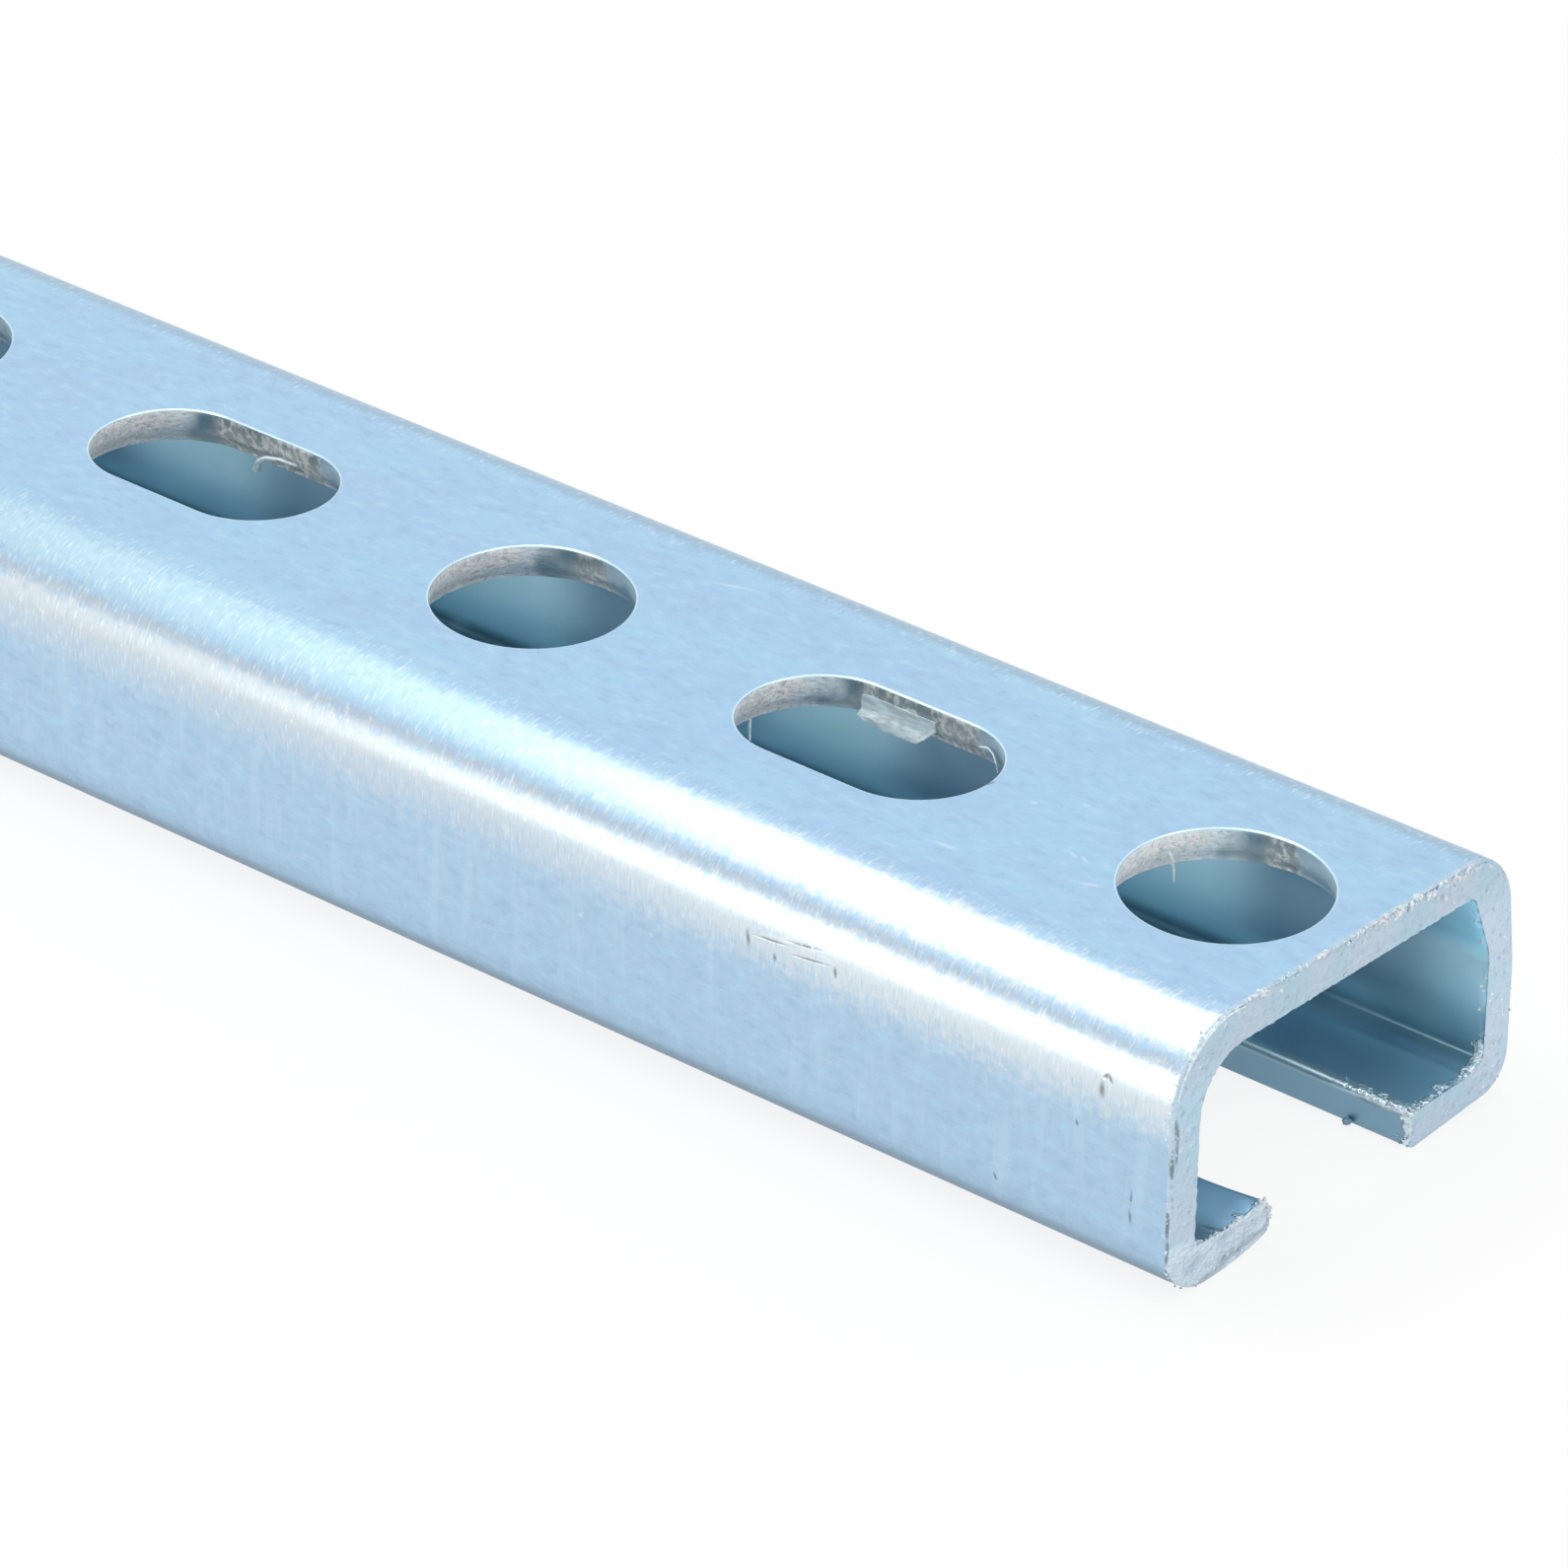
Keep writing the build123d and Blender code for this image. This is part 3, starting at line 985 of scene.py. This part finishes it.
class RAIL_OT_crumbs(bpy.types.Operator):
    """Scatter the crumbs of zinc along both cut ends"""

    bl_idname = "rail.crumbs"
    bl_label = "Crumbs on the ends"

    def execute(self, context):
        rail = bpy.data.objects["rail"]
        rng = random.Random(11)
        places = []
        for along in (1, -1):
            outer = outline_places(rail, 0, along)
            inner = outline_places(rail, 1, along)
            # Each run of the outline: its places, how many crumbs, their smallest and largest size, and how far in
            runs = (
                ([p for p in outer if p.y < -11 * MM and p.z > 9 * MM], 18, 0.1, 0.2, 0.3),
                ([p for p in outer if p.y < -12 * MM and p.z < 9 * MM], 14, 0.1, 0.2, 0.2),
                ([p for p in inner if p.z < 3.2 * MM and 5 * MM < p.y < 7.5 * MM], 9, 0.12, 0.28, 0.5),
                ([p for p in inner if p.z < 3.4 * MM and p.y > 7.5 * MM], 16, 0.12, 0.3, 0.4),
                ([p for p in inner if p.z < 3 * MM and p.y < -5 * MM], 22, 0.16, 0.36, 0.1),
                ([p for p in inner if p.y > 9.5 * MM and p.z > 5 * MM], 12, 0.12, 0.26, 0.4),
            )
            for run, count, smallest, largest, deep in runs:
                for _ in range(count):
                    size = rng.uniform(smallest, largest)
                    jitter = Vector([rng.gauss(0, 0.05 * MM) for _ in range(3)])
                    jitter.x = -along * rng.uniform(0, deep * MM)
                    places.append((rng.choice(run) + jitter, size))
            # Crumbs along the top of the cut, thickest towards the far side
            for low, high, count in TOP_CRUMBS:
                for _ in range(count):
                    across = rng.uniform(low, high)
                    height = min(rng.gauss(14.85 - 0.025 * max(across + 2, 0), 0.12), 14.95)
                    place = Vector((along * (HIGH.x - 0.04 * MM), across * MM, height * MM))
                    places.append((place, rng.uniform(0.12, 0.3)))
            # Specks on the face of the cut
            face = [v.co for v in rail.data.vertices if v.co.x * along > HIGH.x - 0.2 * MM]
            for run, count in (([p for p in face if p.y > 12 * MM], 14), (face, 30)):
                for _ in range(count):
                    places.append((rng.choice(run).copy(), rng.uniform(0.08, 0.18)))
            for y, z, size in BIG_CRUMBS:
                places.append((Vector((along * (HIGH.x - 0.02 * MM), y * MM, z * MM)), size))
            # Ragged metal along the top edge of the far lip
            for _ in range(9):
                back = rng.uniform(0.3, 4) * MM
                place = Vector((along * (HIGH.x - back), rng.uniform(5.86, 6.1) * MM, rng.uniform(2.05, 2.25) * MM))
                places.append((place, rng.uniform(0.12, 0.24)))
            back, across, height = [part * MM for part in DROP_PLACE]
            places.append((Vector((along * (HIGH.x - back), across, height)), DROP_SIZE))
        lumps = [make_lump(seed) for seed in (1, 2, 3)]
        crumbs = scatter("end_crumbs", lumps, places, plain_zinc("zinc_crumbs", (0.90, 0.96, 1.0), 0.35))
        for lump in lumps:
            bpy.data.objects.remove(lump)
        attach(crumbs, "root")
        return {"FINISHED"}


# How far the torn flap of a slot hangs down, in millimetres, at even steps along it
FLAP_DROPS = (1.1, 1.32, 1.28, 1.34, 1.5, 1.44, 1.5, 1.46, 1.48, 1.4, 1.0, 0.5)
FLAP_BENT_PART = 0.9
FLAP_BEND = 0.35 * MM
FLAP_THICKNESS = 0.09 * MM


def add_flap(at, length, drop):
    """A torn flap of plate, flat against a wall that faces the near side, with a stepped lower edge."""
    columns = len(FLAP_DROPS)
    bpy.ops.mesh.select_all(action="DESELECT")
    bpy.ops.mesh.primitive_grid_add(x_subdivisions=columns - 1, y_subdivisions=5, size=1 * MM, location=at)
    resize((length, 1, 1), at)
    shift((0, -0.5 * MM, 0))
    turn_about("X", -math.pi / 2, at)
    start = at.x - length * MM / 2
    step = length * MM / (columns - 1)
    mesh = bmesh.from_edit_mesh(bpy.context.edit_object.data)
    mine = [v.index for v in mesh.verts if v.select]
    for column, fall in enumerate(FLAP_DROPS):
        line = start + column * step
        pick("VERT", lambda v: v.index in mine and near(v.co.x, line, 1e-5))
        resize((1, 1, fall * drop), at)
    pick("VERT", lambda v: v.index in mine and v.co.z < at.z - FLAP_BENT_PART * drop * MM)
    shift((0, -FLAP_BEND, 0))
    pick("FACE", lambda f: all(v.index in mine for v in f.verts))
    bpy.ops.mesh.solidify(thickness=FLAP_THICKNESS)


def add_hair(places, thick):
    """A curled splinter drawn through places in metres, from a five-sided start to a thin tip."""
    bpy.ops.mesh.select_all(action="DESELECT")
    facing = (places[1] - places[0]).to_track_quat("Z", "Y").to_euler()
    bpy.ops.mesh.primitive_circle_add(
        vertices=5, radius=thick * MM, fill_type="NGON", location=places[0], rotation=facing
    )
    for before, after in zip(places, places[1:]):
        extrude(after - before)
        resize((0.85, 0.85, 0.85), after)


# The splinters in the holes: places along from the hole's middle, across from its far wall and up, in
# millimetres, and thickness
ROUND_SPLINTER = ((-5.2, -3.5, 14.1), (-4.9, -3.6, 13.7), (-4.78, -3.6, 13.1), (-4.76, -3.6, 12.5)), 0.1
ROUND_RIGHT_SPLINTER = ((4.9, -3.3, 14.4), (5.0, -3.6, 14.0), (5.0, -3.7, 13.4), (4.9, -3.8, 13.0)), 0.12
FLAP_HOOK = ((3.9, -0.35, 14.1), (4.5, -0.45, 14.3), (5.05, -0.7, 14.25), (5.5, -1.0, 14.0), (5.7, -1.1, 13.6)), 0.08
SLOT_SPLINTER = ((-7.35, -5.2, 13.6), (-7.3, -5.3, 13.1), (-7.2, -5.4, 12.5)), 0.1
SLOT_CURL = ((-0.85, -0.4, 12.8), (-0.6, -0.4, 13.4), (0, -0.35, 13.8), (0.8, -0.2, 13.9), (1.7, 0, 13.8)), 0.25
# The bead round the bend: the turns of its two halves in degrees, how far it lies in, and its thickness
BEAD_TURNS = ((36, 26, 17, 8, -2, -12), (36, 45, 54, 62, 69, 75))
BEAD_SUNK = 0.16 * MM
BEAD_THICKNESS = 0.11


class RAIL_OT_burrs(bpy.types.Operator):
    """Hang the torn flaps, hooks and splinters in the holes, and lay the bead round the bend of each end"""

    bl_idname = "rail.burrs"
    bl_label = "Burrs in the holes"

    def execute(self, context):
        sizes = context.scene.rail_sizes
        rng = random.Random(5)
        burrs = start_mesh("hole_burrs")
        slot_wall = sizes.row_shift + sizes.slot_width / 2
        round_wall = sizes.row_shift + sizes.round_diameter / 2

        def hair(at_x, wall, splinter):
            steps, thick = splinter
            add_hair([Vector((at_x + x * MM, wall + y * MM, z * MM)) for x, y, z in steps], thick)

        # The first four holes have the photo's burrs, and some of the others have burrs of the same kinds
        for number, (at_x, is_round) in enumerate(hole_places(sizes)):
            turn = 1 if number < 4 else rng.choice((1, 0.8, 0.6))
            if is_round and (number == 0 or rng.random() < 0.5):
                hair(at_x, round_wall, ROUND_SPLINTER)
            if is_round and (number == 2 or (number > 3 and rng.random() < 0.4)):
                hair(at_x, round_wall, ROUND_RIGHT_SPLINTER)
            if not is_round and (number == 1 or (number > 3 and rng.random() < 0.35)):
                flap = Vector((at_x - 1.77 * turn * MM, slot_wall - 0.05 * MM, 14.2 * MM))
                add_flap(flap, 4.9 * turn, turn)
                hair(at_x, slot_wall, FLAP_HOOK)
                hair(at_x, slot_wall, SLOT_SPLINTER)
            if not is_round and (number == 3 or (number > 3 and rng.random() < 0.4)):
                hair(at_x, slot_wall, SLOT_CURL)
        # A bead of zinc round the near bend of both cut ends
        centre = Vector((0, sizes.web_bend - sizes.width / 2, sizes.height - sizes.web_bend))
        for end in (sizes.length / 2, -sizes.length / 2):
            for turns in BEAD_TURNS:
                ways = [Vector((0, -math.sin(angle), math.cos(angle))) for angle in degrees(*turns)]
                line = [Vector((end, 0, 0)) + centre + way * (sizes.web_bend - BEAD_SUNK) for way in ways]
                add_hair(line, BEAD_THICKNESS)
        pick_all()
        bpy.ops.mesh.normals_make_consistent(inside=False)
        end_edit()
        bpy.ops.object.shade_smooth_by_angle(angle=math.radians(40))
        burrs.data.materials.append(plain_zinc("zinc_burrs", (0.78, 0.94, 1.0), 0.25))
        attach(burrs, "root")
        return {"FINISHED"}


# The stage

# Each lamp: its middle from the near end and its sides in millimetres, the way it faces, radiance and colour
LAMPS = (
    ("overhead", (-142, -30, 314), (184, 290), (0, 0, -1), 2.3, (1, 1, 1)),
    ("overhead_front", (-256, -207, 314), (44, 62), (0, 0, -1), 2.2, (1, 1, 1)),
    ("side", (-197, -364, 82), (194, 160), (0, 1, 0), 2.0, (1, 0.97, 0.94)),
    ("end", (330, 60, 330), (220, 220), (-0.7, -0.13, -0.7), 2.2, (1, 0.96, 0.9)),
)
# How much of the floor is plain white light, as the camera sees it and as the metal mirrors it
FLOOR_GLOW_SEEN, FLOOR_GLOW_MIRRORED = 0.85, 0.45
# The background's strength as light, and as it is seen and mirrored
SKY_LIGHT, SKY_SEEN = 0.75, 1.0


def ray_kinds(nodes):
    """Whether a ray comes from the camera, and whether from a mirroring or clear surface."""
    rays = nodes.add("LightPath")
    return rays["Is Camera Ray"], nodes.largest(rays["Is Glossy Ray"], rays["Is Transmission Ray"])


def pale_floor():
    """A matte floor that takes a soft shadow, and is nearly as white as the background."""
    mat = bpy.data.materials.new("pale_floor")
    mat.use_nodes = True
    nodes = Nodes(mat.node_tree)
    matte = mat.node_tree.nodes["Principled BSDF"]
    nodes.set_inputs(matte, {"Base Color": (0.9, 0.9, 0.9, 1), "Roughness": 0.9, "Specular IOR Level": 0.1})
    seen, mirrored = ray_kinds(nodes)
    white = nodes.add("Emission", {"Color": (1, 1, 1, 1), "Strength": 1.0})[0]
    share = nodes.calc(
        "ADD", nodes.product(seen, FLOOR_GLOW_SEEN), nodes.product(mirrored, FLOOR_GLOW_MIRRORED)
    )
    both = nodes.add("MixShader", {0: share, 1: matte.outputs[0], 2: white})[0]
    nodes.set_inputs(mat.node_tree.nodes["Material Output"], {"Surface": both})
    return mat


def white_sky():
    """A white background, a little weaker as light than it is seen."""
    world = bpy.data.worlds.new("studio")
    world.use_nodes = True
    nodes = Nodes(world.node_tree)
    strength = nodes.ramp(nodes.largest(*ray_kinds(nodes)), 0, 1, SKY_LIGHT, SKY_SEEN)
    nodes.set_inputs(world.node_tree.nodes["Background"], {"Strength": strength, "Color": (1, 1, 1, 1)})
    return world


class RAIL_OT_stage(bpy.types.Operator):
    """Lay the floor, hang the lamps and set up the camera"""

    bl_idname = "rail.stage"
    bl_label = "Floor, lamps and camera"

    def execute(self, context):
        look = context.scene.stage_look
        scene = context.scene
        scene.view_settings.view_transform = "Standard"
        floor = start_mesh("floor")
        bpy.ops.mesh.primitive_plane_add(size=look.floor_size, location=(0, 0, 0))
        end_edit()
        floor.data.materials.append(pale_floor())
        scene.world = white_sky()

        for name, place, sides, facing, radiance, colour in LAMPS:
            turned = (-Vector(facing)).to_track_quat("Z", "Y").to_euler()
            at = Vector((HIGH.x, 0, 0)) + Vector(place) * MM
            bpy.ops.object.light_add(type="AREA", location=at, rotation=turned)
            lamp = context.object
            lamp.name = lamp.data.name = name
            lamp.data.shape = "RECTANGLE"
            lamp.data.size, lamp.data.size_y = [side * MM for side in sides]
            lamp.data.energy = radiance * math.pi * lamp.data.size * lamp.data.size_y
            lamp.data.color = colour
            lamp.visible_camera = False

        a, e, r = look.azimuth, look.elevation, look.roll
        back = Vector((math.sin(a) * math.cos(e), -math.cos(a) * math.cos(e), math.sin(e)))
        right = Vector((math.cos(a), math.sin(a), 0))
        up = back.cross(right)
        across = right * math.cos(r) + up * math.sin(r)
        upright = up * math.cos(r) - right * math.sin(r)
        turned = Matrix((across, upright, back)).transposed().to_euler()
        bpy.ops.object.camera_add(location=Vector(look.target) + back * look.distance, rotation=turned)
        camera = context.object
        camera.data.lens = look.lens
        camera.data.sensor_width = look.sensor
        camera.data.clip_end = 100
        scene.camera = camera
        return {"FINISHED"}


class RAIL_PT_panel(bpy.types.Panel):
    """Sizes, colours and the steps that build the rail"""

    bl_idname = "RAIL_PT_panel"
    bl_label = "C-channel"
    bl_space_type = "VIEW_3D"
    bl_region_type = "UI"
    bl_category = "C-channel"

    def draw(self, context):
        for group in (context.scene.rail_sizes, context.scene.rail_finish, context.scene.stage_look):
            column = self.layout.column(align=True)
            for name in group.__annotations__:
                column.prop(group, name)
        for step in STEPS:
            self.layout.operator(step.bl_idname)


GROUPS = {"rail_sizes": RailSizes, "rail_finish": RailFinish, "stage_look": StageLook}
STEPS = (RAIL_OT_channel, RAIL_OT_crumbs, RAIL_OT_burrs, RAIL_OT_stage)


def register():
    for made in (*GROUPS.values(), *STEPS, RAIL_PT_panel):
        bpy.utils.register_class(made)
    for name, group in GROUPS.items():
        setattr(bpy.types.Scene, name, PointerProperty(type=group))


def unregister():
    for name in GROUPS:
        delattr(bpy.types.Scene, name)
    for made in reversed((*GROUPS.values(), *STEPS, RAIL_PT_panel)):
        bpy.utils.unregister_class(made)


def main():
    register()
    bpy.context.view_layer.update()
    bpy.ops.rail.channel()
    bpy.ops.rail.crumbs()
    bpy.ops.rail.burrs()
    bpy.ops.rail.stage()


if __name__ == "__main__":
    main()
